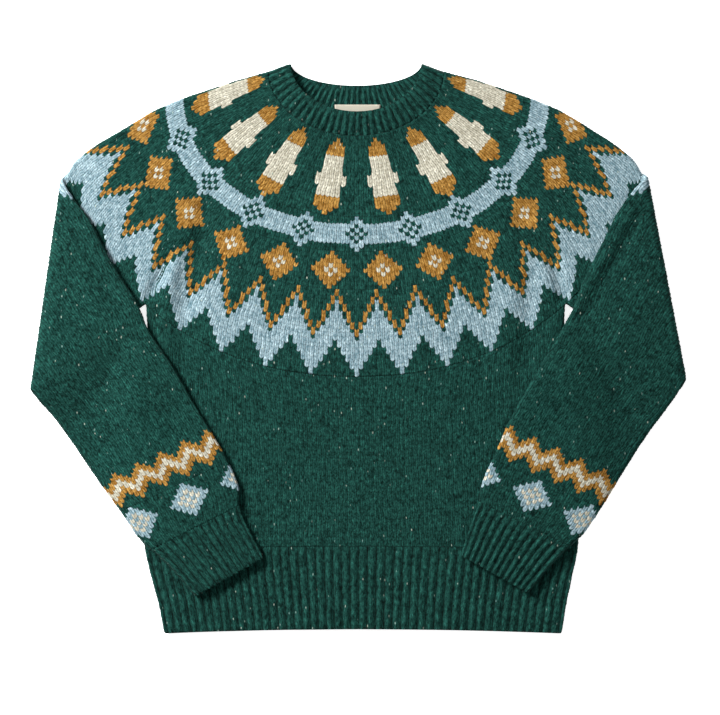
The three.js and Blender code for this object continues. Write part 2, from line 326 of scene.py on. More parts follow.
# %% [markdown]
# ## Sleeves that fold over the front
#
# A sleeve is easiest to describe before it is folded: a flat tapering tube between its upper
# edge and its underarm edge. The folding itself is one rule. Cloth beyond the crease walks
# round a half circle and comes back the other way, one layer higher, with its back side up.
# To write the table of edges where they are seen, lying on the front, the rule is undone for
# each of them first.

# %% Edges of the sleeves
SLEEVE_EDGES = {
    "left": {
        "crease": ((-359, 540), (-393, 305)),
        "upper": [
            (-350, 553), (-342, 524), (-321, 496), (-303, 461), (-286, 431), (-264, 396),
            (-252, 367), (-223, 323), (-197, 277), (-173, 238), (-156, 208), (-142, 171),
            (-142, 155), (-138, 141), (-129, 123), (-113, 92),
        ],
        "under": [
            (-250, 402), (-386, 283), (-362, 254), (-340, 223), (-314, 185), (-285, 146),
            (-257, 108), (-249, 101), (-226, 79), (-196, 45),
        ],
        "ribs": (12, 7),  # the entries of the two edges where the ribbing starts
    },
    "right": {
        "crease": ((350, 540), (393, 314)),
        "upper": [
            (341, 553), (325, 527), (309, 504), (296, 478), (283, 452), (270, 426),
            (259, 396), (247, 372), (222, 329), (206, 301), (184, 263), (164, 218),
            (145, 170), (144, 160), (137, 140), (122, 95),
        ],
        "under": [
            (245, 402), (388, 296), (372, 272), (350, 242), (320, 196), (293, 153),
            (267, 117), (254, 105), (231, 81), (204, 49),
        ],
        "ribs": (13, 7),  # the entries of the two edges where the ribbing starts
    },
}


class Sleeve:
    """One sleeve with its cuff: its edges laid straight again, and the rule that folds it."""

    def __init__(self, side, edges):
        self.side = -1 if side == "left" else 1
        top, elbow = (np.array(p, float) for p in edges["crease"])
        self.along = (elbow - top) / np.linalg.norm(elbow - top)
        self.out = np.array([-self.along[1], self.along[0]])
        if self.out[0] * self.side < 0:
            self.out = -self.out
        self.start = top - self.out * (ROLL + FOLD)
        self.elbow, self.corner = elbow, np.array(edges["under"][0], float)
        self.edges, self.rib_at = {}, {}
        for name, rib in zip(("upper", "under"), edges["ribs"]):
            points = np.array(edges[name], float)
            points[1:] = self.unfold(points[1:])
            steps = np.linalg.norm(np.diff(points, axis=0), axis=1)
            self.edges[name] = (np.concatenate([[0], np.cumsum(steps)]), points)
            self.rib_at[name] = self.edges[name][0][rib]

    def unfold(self, points):
        """Where points of the laid-over part were before the sleeve was folded."""
        past = -(points - self.start) @ self.out
        return points + self.out * (2 * past + ROLL * np.pi)[:, None]

    def edge(self, name, place):
        """The point of an edge at a share of its length: up to 1 it is sleeve, and from 1 to
        2 cuff. The under edge lags a little behind the upper one, as rows of knitting do."""
        lengths, points = self.edges[name]
        rib = self.rib_at[name]
        sleeve = np.clip(place, -0.1, 1)
        if name == "under":
            sleeve = sleeve - 0.2 * sleeve * (1 - sleeve) * smoothstep(sleeve, 0.2, 1)
        at = rib * sleeve + (lengths[-1] - rib) * np.maximum(place - 1, 0)
        return np.stack([smooth_curve(at, lengths, points[:, i]) for i in (0, 1)], -1)

    def to_ring(self, share, behind):
        """The way from the straight start of the sleeve to the last ring of the yoke, on the
        front of the jumper for the side that is behind, and on its back for the other."""
        at = self.side * (1 - (1 - UNDERARM) * share)
        last = np.full_like(share, YOKE_DEPTH)
        ring = [
            np.stack([read_table(rings[front][i], at, last) for i in (0, 1)], -1)
            for front in (True, False)
        ]
        upper, under = self.edges["upper"][1][0], self.edges["under"][1][0]
        straight = upper + (under - upper) * share[..., None]
        return np.where(behind[..., None], ring[0], ring[1]) - straight

    def sink(self, x, y):
        """How far the laid-over part sinks outside whatever lies under it."""
        name = "left" if self.side < 0 else "right"
        beside_body = np.abs(x) - smooth_curve(y, SIDES["up"], SIDES[name])
        way = (self.elbow - self.corner) / np.linalg.norm(self.elbow - self.corner)
        below = self.side * (way[0] * (y - self.corner[1]) - way[1] * (x - self.corner[0]))
        return 2 * ROLL * smoothstep(np.minimum(beside_body, -below), 4, 75)

    def cloth(self, across, place):
        """Where a point of the sleeve is. across runs from the upper edge (-1) to the under
        edge (1) over the side that shows, and from 1 to 3 back over the other side."""
        behind = across > 1
        onto = np.where(behind, 2 - across, across)
        side, reach = split_share(onto)
        upper, under = self.edge("upper", place), self.edge("under", place)
        half = np.linalg.norm(under - upper, axis=-1) / 2
        inset, rise = round_fold(reach * (half + SPARE))
        share = (side * (1 - inset / half) + 1) / 2
        flat = upper + (under - upper) * share[..., None]
        near_yoke = (1 - smoothstep(place, 0, 0.25))[..., None]
        flat = flat + self.to_ring(share, behind) * near_yoke
        past = (flat - self.start) @ self.out
        over = smoothstep(past - ROLL * np.pi, 0, 15)
        rise = rise * (1 + np.where(behind, 0, 0.3 * over) * (1 - np.abs(onto) ** 3))
        lift = np.where(behind, rise, -rise)
        turn = np.clip(past, 0, ROLL * np.pi) / ROLL
        back = np.maximum(past - ROLL * np.pi, 0)
        offset = np.minimum(past, 0) + (ROLL - lift) * np.sin(turn) - back
        plan = flat + self.out * (offset - past)[..., None]
        height = FOLD + ROLL - (ROLL - lift) * np.cos(turn)
        x, y = plan[..., 0], plan[..., 1]
        height = height - self.sink(x, y) * over
        shown = over * smoothstep(-lift, 0, FOLD)
        height = height + shown * (creases(x, y, SLEEVE_CREASES) + 0.9 * wobble(x, y, 8))
        return np.stack([x, y, height], -1)


# %% Creases of the sleeves
SLEEVE_CREASES = [
    (-338, 500, -268, 384, 7, 1.6),
    (-350, 500, -282, 384, 7, -1.6),
    (-330, 360, -262, 300, 20, 1.2),
    (-300, 230, -230, 262, 18, -1.0),
    (-250, 190, -190, 226, 16, 0.9),
    (324, 504, 258, 388, 7, 1.6),
    (336, 500, 272, 380, 7, -1.6),
    (330, 370, 258, 306, 20, 1.2),
    (300, 236, 226, 268, 18, -1.0),
]
sleeves = {side: Sleeve(side, edges) for side, edges in SLEEVE_EDGES.items()}
for side, sleeve in sleeves.items():
    print(side, "sleeve edges", {k: round(v) for k, v in sleeve.rib_at.items()}, "mm long")

# %% [markdown]
# ## Stitches
#
# Stocking stitch is columns of little V shapes. Each V has two plump legs with a groove
# between them and a deeper groove towards the next column. The grid of each patch is sheared
# so that its rows run along the legs: four steps across a stitch and two along it are then
# enough for the real relief. A face belongs to exactly one stitch, so the colour of its yarn
# is stored on the face, as a chart.

# %% Relief of the stitches
SLANT = 0.9  # how many rows a leg climbs from the middle of the V to its side


def shear(column):
    """How far a row sags at this place across its stitch, in rows."""
    return (0.25 - np.abs(column % 1 - 0.5)) * SLANT


def stocking_relief(column, row):
    """Legs at 1/4 and 3/4 of a stitch and half way along a row; 0 in grooves, 1 on crests."""
    leg = 0.5 - 0.5 * np.cos(4 * np.pi * column)
    outer = 0.22 * np.cos(2 * np.pi * column)
    along = 0.5 - 0.5 * np.cos(2 * np.pi * row)
    return leg * (0.55 + 0.45 * along) - outer


def rib_relief(column, row):
    """Single rib: one column stands up and the next one sinks, with faint legs on top. It
    grows out of the plain legs over its first three rows."""
    rib = 0.5 + 0.5 * np.cos(np.pi * (column - 0.5))
    along = 0.5 - 0.5 * np.cos(2 * np.pi * row)
    grown = smoothstep(row, 0, 3)
    full = 1.8 * rib**0.8 + 0.3 * along * rib - 1.1
    return stocking_relief(column, row) * (1 - grown) + full * grown


# %% A piece of knitting
class Knitting:
    """Gathers the points and faces of one piece: patches of stitches, the plain inside of
    the cloth, and the strips that join edges with different numbers of points."""

    def __init__(self, name):
        self.name, self.count = name, 0
        self.points, self.quads, self.triangles = [], [], []

    def add_points(self, points):
        """Keeps a grid of points and returns the grid of their numbers."""
        self.points.append(points.reshape(-1, 3))
        start, self.count = self.count, self.count + points.shape[0] * points.shape[1]
        return start + np.arange(points.shape[0] * points.shape[1]).reshape(points.shape[:2])

    def add_grid(self, index, chart, bake, yarn, stitch, closed=False, flip=1):
        """Quads between neighbouring points of an index grid. chart and bake each hold the
        columns' and the rows' values: the place in the chart and the place in the bake map.
        Each face has the yarn and the stitch that it belongs to."""
        right = np.concatenate([index[:, 1:], index[:, :1]], 1) if closed else index[:, 1:]
        left = index if closed else index[:, :-1]
        faces = np.stack([left[:-1], left[1:], right[1:], right[:-1]], -1).reshape(-1, 4)
        corners = []
        for columns, rows in (chart, bake):
            c0, r0 = np.meshgrid(columns[:-1], rows[:-1])
            c1, r1 = np.meshgrid(columns[1:], rows[1:])
            pairs = ((c0, r0), (c0, r1), (c1, r1), (c1, r0))
            corners.append(np.stack([np.stack(p, -1) for p in pairs], -2).reshape(-1, 4, 2))
        faces, *corners = (part[:, ::flip] for part in (faces, *corners))
        kinds = np.ones(len(faces), bool)
        self.quads.append((faces, *corners, yarn.reshape(-1, 3), stitch.reshape(-1, 3), kinds))

    def join(self, first, second, swap=False, smooth=False):
        """A strip of triangles between two lines of points, each given as its numbers, its
        places along the strip and its height in the bake map. Walking along both lines at
        once, each step on one of them makes a triangle with the nearest point of the other.
        Rims stay flat-faced, so that their shading stays out of the cloth's."""
        if swap:
            first, second = second, first
        (a, a_at, a_bake), (b, b_at, b_bake) = first, second
        ends = np.concatenate([a_at[1:], b_at[1:]])
        which = np.concatenate([np.zeros(len(a) - 1), np.ones(len(b) - 1)])
        on_first = which[np.lexsort((which, ends))] == 0
        i = np.concatenate([[0], np.cumsum(on_first)])[:-1]
        j = np.concatenate([[0], np.cumsum(~on_first)])[:-1]
        i2, j2 = np.minimum(i + 1, len(a) - 1), np.minimum(j + 1, len(b) - 1)
        faces = np.stack([a[i], b[j], np.where(on_first, a[i2], b[j2])], -1)
        corner = [a_bake[i], b_bake[j], np.where(on_first[:, None], a_bake[i2], b_bake[j2])]
        plain = np.zeros((len(faces), 3))
        chart = np.zeros((len(faces), 3, 2))
        kinds = np.full(len(faces), smooth)
        self.triangles.append((faces, chart, np.stack(corner, 1), plain, plain, kinds))

    def build(self):
        """The Blender mesh, in metres, with its two maps and its two face attributes."""
        points = np.concatenate(self.points)
        points[:, 0] += centre_line
        points[:, 1] += hem_line
        mesh = bpy.data.meshes.new(self.name)
        faces = [f for q in self.quads for f in q[0].tolist()]
        faces += [f for t in self.triangles for f in t[0].tolist()]
        mesh.from_pydata((points * MM).tolist(), [], faces)
        parts = self.quads + self.triangles
        for name, k in (("chart", 1), ("OFBake", 2)):
            places = np.concatenate([p[k].reshape(-1, 2) for p in parts])
            layer = mesh.uv_layers.new(name=name)
            layer.uv.foreach_set("vector", places.astype(np.float32).ravel())
        for name, k in (("yarn", 3), ("stitch", 4)):
            values = np.concatenate([p[k] for p in parts]).astype(np.float32)
            data = mesh.attributes.new(name, "FLOAT_VECTOR", "FACE").data
            data.foreach_set("vector", values.ravel())
        mesh.polygons.foreach_set("use_smooth", np.concatenate([p[5] for p in parts]))
        mesh.update()
        piece = bpy.data.objects.new(self.name, mesh)
        bpy.context.scene.collection.objects.link(piece)
        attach(piece, "root")
        triangles = sum(len(p.vertices) - 2 for p in mesh.polygons)
        print(f"{self.name}: {triangles} triangles")
        return piece


# %% A patch of stitches on a surface
CALM_ROWS = 0.6  # the part of a row over which stitches fall in line at the ends of a patch
PLUMP = 0.7  # how much plumper the plumpest stitch is than the thinnest
EDGE_ROLL, EDGE_ROWS, DEEPEST = 1.3, 1.2, 2.0  # a free edge: how far down, over what, at most


def lines(start, end, step):
    """Evenly spaced values from start to end, with both ends in."""
    return np.linspace(start, end, int(round((end - start) / step)) + 1)


def outward(points, closed=False):
    """The direction away from the cloth: the cross product of the steps along and across."""
    if closed:
        padded = np.concatenate([points[:, -1:], points, points[:, :1]], 1)
        across = np.gradient(padded, axis=1)[:, 1:-1]
    else:
        across = np.gradient(points, axis=1)
    normal = np.cross(np.gradient(points, axis=0), across)
    return normal / np.maximum(np.linalg.norm(normal, axis=-1, keepdims=True), 1e-9)


def no_colour(column, row):
    """Every stitch in the main yarn."""
    return np.zeros(column.shape + (3,))


def chance(column, row, seed):
    """An even random number from 0 to 1 for each whole stitch, the same wherever it is asked
    for: the fraction of a large sine."""
    value = np.sin(np.floor(column) * 12.99 + np.floor(row) * 78.23 + seed * 37.7) * 43758.5
    return value - np.floor(value)


class Patch:
    """A band of knitting with one number of stitches and rows.

    surface(across, along) gives its points; across = stitch / count and along comes from the
    row by two numbers, where the first row starts and how long a row is. wander says how
    unevenly the stitches lie. seams says whether its first and last rows meet the stitches of
    another patch, V on V; rolls says which of them is a free edge that rolls under."""

    def __init__(self, surface, count, rows, start, row_length, chart=no_colour,
                 relief=stocking_relief, height=0.9, flip=1, seed=0, ends=None, bend=(0, 0),
                 wander=1.0, seams=(False, False), rolls=(False, False)):
        self.surface, self.count, self.rows = surface, count, rows
        self.start, self.row_length, self.chart = start, row_length, chart
        self.relief, self.height, self.flip, self.seed = relief, height, flip, seed
        self.ends, self.bend = ends or (-count, count), bend
        self.wander, self.seams, self.rolls = wander, seams, rolls

    def spread(self, across, down):
        """Stitches lie a little wider at the middle than at the folds; down is how far the
        row is through the patch."""
        bend = self.bend[0] + (self.bend[1] - self.bend[0]) * down
        return np.where(np.abs(across) < 1, across * (1 + bend * (1 - across**2)), across)

    def bump(self, place, row, fade, ends):
        """How far the wool stands off the surface: the relief of a stitch, more or less plump
        by chance, and lower where a free edge rolls under. The crests lie on the surface."""
        own = chance(place + 0.01, row + 0.25, self.seed + 3) - 0.5
        bump = (self.relief(place, row) * (1 + PLUMP * own * fade) - 1) * self.height
        for away, roll in zip(ends, self.rolls):
            if roll:
                under = EDGE_ROLL * (1 - np.clip(away / EDGE_ROWS, 0, 1)) ** 2
                bump = np.maximum(bump - under, -DEEPEST)
        return bump

    def uneven(self, place, row):
        """Waves of several lengths that cross, in rows: no two stitches pull quite alike."""
        turn = place * (2 * np.pi / (4 * self.count))
        slow = 0.14 * np.sin(turn * 9 + row * 0.9 + self.seed) * np.sin(row * 0.31 + turn * 5)
        quick = 0.1 * np.sin(turn * 31 - row * 1.7) * np.sin(turn * 13 + row * 0.8)
        return (slow + quick) * self.wander

    def knit(self, knitting, columns, row_step, span, trim, closed=False):
        """Adds the patch to a piece, between the two heights of its span in the bake map.
        Returns its grid of point numbers, the places of its first and last row's points
        across, of its rows along, and both in the bake map."""
        rows = np.concatenate([[trim], lines(0, self.rows, row_step)[1:-1], [self.rows - trim]])
        column, row = np.meshgrid(columns[:-1] if closed else columns, rows)
        place = column + self.count
        from_start, from_end = row - trim, self.rows - trim - row
        fade = np.clip(np.minimum(from_start, from_end) / CALM_ROWS, 0, 1)
        legs = np.clip(from_start / CALM_ROWS + self.seams[0], 0, 1)
        legs = legs * np.clip(from_end / CALM_ROWS + self.seams[1], 0, 1)
        uneven = self.uneven(place, row) * fade
        own = chance(place + 0.01, row + 0.25, self.seed) - 0.5
        sag = shear(place) * legs * (1 + PLUMP * own * fade)
        along = self.start + (row + sag + uneven) * self.row_length
        across = self.spread((column + 0.8 * uneven) / self.count, row / self.rows)
        points = self.surface(across, along)
        bump = self.bump(place, row, fade, (from_start, from_end))
        points = points + outward(points, closed) * (self.flip * bump)[..., None]
        index = knitting.add_points(points)
        ends = [self.spread(columns / self.count, down) for down in (0, 1)]
        shares = columns - columns[0]
        bake = (shares / shares[-1], span[0] + (span[1] - span[0]) * (rows / self.rows))
        mid_column, mid_row = np.meshgrid(
            (columns[:-1] + columns[1:]) / 2, (rows[:-1] + rows[1:]) / 2
        )
        cell = np.floor(mid_column + self.count)
        stitch = np.stack([cell, np.floor(mid_row), np.full(cell.shape, self.seed)], -1)
        yarn = self.chart(cell + 0.5 - self.count, np.floor(mid_row))
        chart = (columns + self.count, rows)
        knitting.add_grid(index, chart, bake, yarn, stitch, closed, self.flip)
        return index, ends, self.start + rows * self.row_length, bake


# %% [markdown]
# ## Panels and tubes
#
# The outside of a piece is several bands of stitches, because a knitter adds or drops
# stitches between them. A strip of triangles joins each band to the next. The inside is one
# plain sheet a yarn's thickness further in, and more strips close the rims, so that a piece
# is real cloth with two sides. In the map for baking, the outside fills the lower part, the
# inside a part above it, and the rims four thin lines at the top.

# %% Close a piece of cloth
def dense_ends(low, high, steps):
    """Values from low to high that lie closer together at both ends, by a sine."""
    return (low + high) / 2 + (high - low) / 2 * np.sin(np.linspace(-1, 1, steps + 1) * np.pi / 2)


def beside(at, heights):
    """Places in the bake map from a row of places along and a height for all of them."""
    return np.stack([at, np.broadcast_to(heights, at.shape)], -1)


OUTSIDE, INSIDE = 0.6, (0.64, 0.9)  # heights in the bake map, up to and between
TRIM = 0.01  # what is left off the first and last row, so that rims do not touch


def make_cloth(name, bands, column_step=0.25, hidden_step=0.5, row_step=0.5, closed=False,
               inner_steps=(60, 40), lining=None):
    """A whole piece of knitting from its bands, with the inside of its cloth and its rims.
    lining is a patch of stitches for an inside that shows."""
    knitting, grids, flip = Knitting(name), [], bands[0].flip
    lengths = np.array([band.rows * band.row_length for band in bands])
    starts = np.concatenate([[0], np.cumsum(lengths)]) / lengths.sum() * OUTSIDE
    for band, low, high in zip(bands, starts, starts[1:]):
        if closed:
            shown = lines(-band.count, band.count, column_step)
            columns = np.append(shown, lines(band.count, 3 * band.count, hidden_step)[1:])
        else:
            columns = lines(*band.ends, column_step)
        grids.append(band.knit(knitting, columns, row_step, (low, high), TRIM, closed))
    for upper, lower in zip(grids, grids[1:]):
        pair = []
        for (index, ends, _, bake), row in ((upper, -1), (lower, 0)):
            line = np.append(index[row], index[row, 0]) if closed else index[row]
            pair.append((line, ends[row], beside(bake[0], bake[1][row])))
        knitting.join(*pair, swap=flip < 0, smooth=True)

    low, high = grids[0][1][0][0], grids[0][1][0][-1]
    if closed:
        halves = dense_ends(-1, 1, inner_steps[0]), dense_ends(1, 3, inner_steps[0])
        across = np.append(halves[0], halves[1][1:])
    else:
        across = dense_ends(low, high, inner_steps[0])
    along = np.linspace(grids[0][2][0], grids[-1][2][-1], inner_steps[1] + 1)
    bake = ((across - across[0]) / (across[-1] - across[0]), np.linspace(*INSIDE, len(along)))
    if lining is None:
        column, row = np.meshgrid(across[:-1] if closed else across, along)
        points = bands[0].surface(column, row)
        inner = knitting.add_points(points - outward(points, closed) * flip * CLOTH)
        plain = np.zeros(((len(across) - 1) * (len(along) - 1), 3))
        chart = (across * 40, along / 5)
        knitting.add_grid(inner, chart, bake, plain, plain + 7, closed, -flip)
    else:
        columns = lines(*lining.ends, column_step)
        inner, ends, along, bake = lining.knit(knitting, columns, row_step, INSIDE, TRIM)
        across = ends[0]

    for row, outer, height in ((0, grids[0], 0.92), (-1, grids[-1], 0.94)):
        pair = []
        sides = ((outer[0], outer[1][row], outer[3][0], 0), (inner, across, bake[0], 0.01))
        for index, at, shares, lift in sides:
            line = np.append(index[row], index[row, 0]) if closed else index[row]
            pair.append((line, at, beside(shares, height + lift)))
        knitting.join(*pair, swap=(row == 0) == (flip > 0))
    if not closed:
        outer_at = np.concatenate([grid[2] for grid in grids])
        full = along[-1] - along[0]
        for column, height in ((0, 0.96), (-1, 0.98)):
            outer = np.concatenate([grid[0][:, column] for grid in grids])
            pair = (
                (outer, outer_at, beside((outer_at - along[0]) / full, height)),
                (inner[:, column], along, beside((along - along[0]) / full, height + 0.01)),
            )
            knitting.join(*pair, swap=(column == 0) == (flip < 0))
    return knitting.build()


# %% [markdown]
# ## The chart of the yoke
#
# Patterns of this kind are written as charts, one square a stitch. Every motif here is a rule
# on the distance to its middle, counted in stitches across and rows down, as a knitter
# counts them: bars with pointed ends, a band with chequered diamonds, diamonds with a small
# ring, and two zigzags. The three numbers of a face say how much of the pale blue, the ochre
# and the cream yarn it takes. Where all are 0 it is the dark green.

# %% Motifs of the yoke
BLUE, OCHRE, CREAM = np.eye(3)


def paint(shape, *layers):
    """Colours for a grid of stitches: each layer is a mask and a yarn, the last one on top."""
    colour = np.zeros(shape + (3,))
    for mask, yarn in layers:
        colour[mask] = yarn
    return colour


def from_motif(column):
    """Stitches from the middle of the nearest motif: there is one every twelve stitches, and
    the centre line runs half way between two of them."""
    return np.abs(column % 12 - 6)


def bars(column, row):
    """Cream bars with ochre ends and a small step below the middle."""
    d = from_motif(column)
    half = np.minimum(np.minimum(row - 1, 21 - row), 2)
    shape = d <= half
    step = (d <= 3) & (row >= 11) & (row <= 13)
    body = (row >= 6) & (row <= 16)
    return paint(column.shape, (shape, OCHRE), ((shape & body) | step, CREAM))


def chequered_band(column, row):
    """A pale blue band with chequered diamonds, between the motifs above and below it."""
    across, down = 6 - from_motif(column), np.abs(row - 4)
    inside = across + down
    checks = (inside <= 2) & (inside % 2 == 0)
    return paint(column.shape, ((down <= 2) | (inside <= 4), BLUE), (checks, 0 * BLUE))


def ringed_diamonds(column, row):
    """Ochre diamonds, nine stitches wide and nine rows high, round four cream stitches."""
    inside = from_motif(column) + np.abs(row - 4)
    return paint(column.shape, (inside <= 4, OCHRE), (inside == 1, CREAM))


def zigzags(column, row):
    """An ochre zigzag two rows deep over a deep pale blue one, every 10 stitches. The blue
    one is deeper still at the shoulders."""
    d, at = np.abs((column + 5) % 10 - 5), row + 0.5
    line = np.abs(at - (11.8 - 2.16 * d)) < 1.05
    deeper = 2.5 * smoothstep(np.abs(column), 56, 70)
    deep = (at > 14.2 - 2.15 * d) & (at < 23.9 - 1.94 * d + deeper)
    return paint(column.shape, (deep, BLUE), (line, OCHRE))


# %% Knit the yoke
YOKE_BANDS = [  # stitches a quarter round, rows, first and last distance, chart, spread
    (45.5, 22, 29.0, 126.0, bars, (0.087, 0.087)),
    (57.5, 9, 126.0, 168.0, chequered_band, (0.025, 0.025)),
    (68.5, 9, 168.0, 213.6, ringed_diamonds, (0.02, 0.02)),
    (80.5, 24, 213.6, 318.0, zigzags, (0.0, -0.036)),
]


def yoke_bands(front):
    """The bands of the front or back of the yoke. The front goes on one stitch round the
    fold, and the back stops there."""
    bands = []
    for i, (count, rows, start, end, chart, bend) in enumerate(YOKE_BANDS):
        edge = count + 1 if front else count - 1
        bands.append(
            Patch(
                lambda across, depth, front=front: yoke_cloth(across, depth, front),
                count, rows, start, (end - start) / rows, chart,
                ends=(-edge, edge), flip=1 if front else -1, seed=i, bend=bend,
                seams=(False, i == 3),
            )
        )
    return bands


yoke_front = make_cloth("yoke_knit_front", yoke_bands(True), inner_steps=(90, 40))
yoke_back = make_cloth("yoke_knit_back", yoke_bands(False), 0.5, inner_steps=(90, 40))

# %% [markdown]
# ## Body and hem
#
# Below the yoke the jumper is a plain tube. Its first rows still have the curve of the last
# ring, as the stitches under the arms were put on a holder and only the middle was knitted
# on. The hem is single rib, one plain column and one purl column in turn, which pulls the
# edge in. A rib has more columns to the width than plain knitting has.

# %% Knit the body and the hem
BODY_COUNT, BODY_ROWS = 49.5, 56  # stitches a quarter round, and rows
HEM_COUNT, HEM_ROWS = 49.5, 21


def body_band(front):
    """The plain band from the yoke to the hem, for the front or the back."""
    edge = BODY_COUNT + 1 if front else BODY_COUNT - 1
    return Patch(
        lambda across, drop: body_cloth(across, drop, front),
        BODY_COUNT, BODY_ROWS, 0.0, 1 / BODY_ROWS,
        ends=(-edge, edge), flip=1 if front else -1, seed=10, seams=(True, True),
    )


body_front = make_cloth("body_knit_front", [body_band(True)], inner_steps=(60, 40))
body_back = make_cloth("body_knit_back", [body_band(False)], 0.5, inner_steps=(60, 40))
hem = make_cloth(
    "hem_knit",
    [Patch(round_tube(body_cloth), HEM_COUNT, HEM_ROWS, 1.0, 1 / HEM_ROWS,
           relief=rib_relief, height=1.0, seed=11, wander=0.3, seams=(True, False),
           rolls=(False, True))],
    closed=True, inner_steps=(50, 10),
)

# %% [markdown]
# ## Sleeves and cuffs
#
# The sleeves taper, so a knitter drops stitches on the way down. Near the wrist each has a
# small pattern of its own: a row of pale blue diamonds with cream flecks, and above it three
# lines that zigzag together.

# %% The chart of the sleeves
def from_underarm(column, count):
    """Stitches in from the underarm edge, the same on both sides of the sleeve."""
    return count - np.where(column > count, 2 * count - column, column) - 0.5


def wrist_zigzag(column, row, count=15, rows=88):
    """Three lines, ochre, cream and ochre, that zigzag together every six stitches, and at
    the other end of the sleeve a tip of the yoke's blue zigzag."""
    t = rows - 2 - row - np.abs((from_underarm(column, count) + 2) % 6 - 3)
    ochre = ((t >= 0) & (t < 2)) | ((t >= 4) & (t < 6))
    in_from_top = np.minimum(column + count, 3 * count - column)
    cap = (in_from_top < 2.5) & (row < 8 - 1.5 * in_from_top)
    return paint(column.shape, (cap, BLUE), (ochre, OCHRE), ((t >= 2) & (t < 4), CREAM))


def wrist_diamonds(column, row, count=13, rows=12):
    """Pale blue diamonds with cream flecks, every twelve stitches."""
    across = np.abs((from_underarm(column, count) + 4) % 12 - 6)
    inside = across + np.abs(rows - 8 - row)
    fleck = (inside % 2 == 0) & (inside <= 2)
    return paint(column.shape, (inside <= 4, BLUE), (fleck, CREAM))


# %% Knit the sleeves and the cuffs
SLEEVE_BANDS = [  # stitches a quarter round, rows, first and last share of the length, chart
    (15, 88, 0.0, 0.88, wrist_zigzag),
    (13, 12, 0.88, 1.0, wrist_diamonds),
]
CUFF_COUNT, CUFF_ROWS = 13, 17
sleeve_pieces, cuff_pieces = {}, {}
for side, sleeve in sleeves.items():
    flip = sleeve.side
    bands = []
    for i, (count, rows, start, end, chart) in enumerate(SLEEVE_BANDS):
        bands.append(
            Patch(sleeve.cloth, count, rows, start, (end - start) / rows, chart,
                  flip=flip, seed=20 + i + 5 * flip, seams=(False, i == 1))
        )
    sleeve_pieces[side] = make_cloth(
        "sleeve_knit_" + side, bands, closed=True, inner_steps=(24, 60)
    )
    cuff = Patch(sleeve.cloth, CUFF_COUNT, CUFF_ROWS, 1.0, 1 / CUFF_ROWS,
                 relief=rib_relief, height=1.0, flip=flip, seed=40 + flip, wander=0.3,
                 seams=(True, False), rolls=(False, True))
    cuff_pieces[side] = make_cloth(
        "cuff_knit_" + side, [cuff], closed=True, inner_steps=(20, 10)
    )

# %% [markdown]
# ## Neckband and label
#
# The neckband is single rib too. The inside of its back half shows through the neck, so it
# is knitted as carefully as the outside. The label is a strip of woven cotton, sewn in just
# below it and left bare.

# %% Knit the neckband
NECK_COUNT, NECK_ROWS = 32, 7


def neck_band(front):
    """The band of ribbing from the neck's edge to the yoke."""
    edge = NECK_COUNT + 1 if front else NECK_COUNT - 1
    return Patch(
        lambda across, depth: yoke_cloth(across, depth, front),
        NECK_COUNT, NECK_ROWS, 0.0, BAND_DEPTH / NECK_ROWS,
        relief=rib_relief, height=1.0, ends=(-edge, edge), flip=1 if front else -1, seed=50,
        wander=0.3, rolls=(True, False),
    )


def back_inside(across, depth):
    """The inside of the back band: the outside moved in by the thickness of the cloth."""
    points = yoke_cloth(across, depth, False)
    return points + outward(points) * (CLOTH + 1.0)


lining = neck_band(False)
lining.surface, lining.flip = back_inside, 1
neck_front = make_cloth("neck_rib_front", [neck_band(True)], inner_steps=(40, 6))
neck_back = make_cloth("neck_rib_back", [neck_band(False)], lining=lining)

# %% The label
label_low, label_high = (np.array(corner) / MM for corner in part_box("label"))
middle, half = (label_low + label_high) / 2, (label_high - label_low) / 2
u, v = np.meshgrid(np.linspace(-1, 1, 29), np.linspace(1, -1, 13))


def label_side(up):
    """One side of the label: a slightly bowed rectangle, its weave left to the material."""
    bow = 0.25 * (1 - u**2) * np.cos(v * 2)
    return np.stack([u * half[0], v * half[1], np.full_like(u, up * half[2]) + bow], -1) + middle


label_cloth = Knitting("label_woven")
for up in (1, -1):
    index = label_cloth.add_points(label_side(up) - [centre_line, hem_line, 0])
    chart = (u[0] * half[0], v[:, 0] * half[1])
    bake = (np.linspace(0.02, 0.9, 29), np.linspace(0.02, 0.45, 13) + (0.48 if up < 0 else 0))
    plain = np.zeros((28 * 12, 3))
    label_cloth.add_grid(index, chart, bake, plain, plain, flip=up)
    top = index if up > 0 else top
for (a, b), swap in (
    ((top[0], index[0]), True), ((top[-1], index[-1]), False),
    ((top[:, 0], index[:, 0]), False), ((top[:, -1], index[:, -1]), True),
):
    at = np.linspace(0, 1, len(a))
    strip = 0.955 + 0.02 * swap
    label_cloth.join((a, at, beside(at, strip)), (b, at, beside(at, strip + 0.01)), swap)
label = label_cloth.build()

# %% [markdown]
# ## Wool
#
# Heathered yarn is spun from fleece of several shades, so its colour changes from fibre to
# fibre and from stitch to stitch, and now and then a pale speck is caught in it. The shader
# takes the yarn of a face from its chart and adds those changes: hairs a third of a stitch
# wide, finer strands along the legs, and blotches over several stitches. The grooves between
# the legs of the stitches are darkened a little, as wool there is in the shade of its
# neighbours.

# %% A short way to write shader sums
def linear(red, green, blue):
    """A colour picked on a screen (0 to 255), as the light it stands for."""
    c = np.array([red, green, blue]) / 255
    c = np.where(c <= 0.04045, c / 12.92, ((c + 0.055) / 1.055) ** 2.4)
    return (*c.tolist(), 1.0)


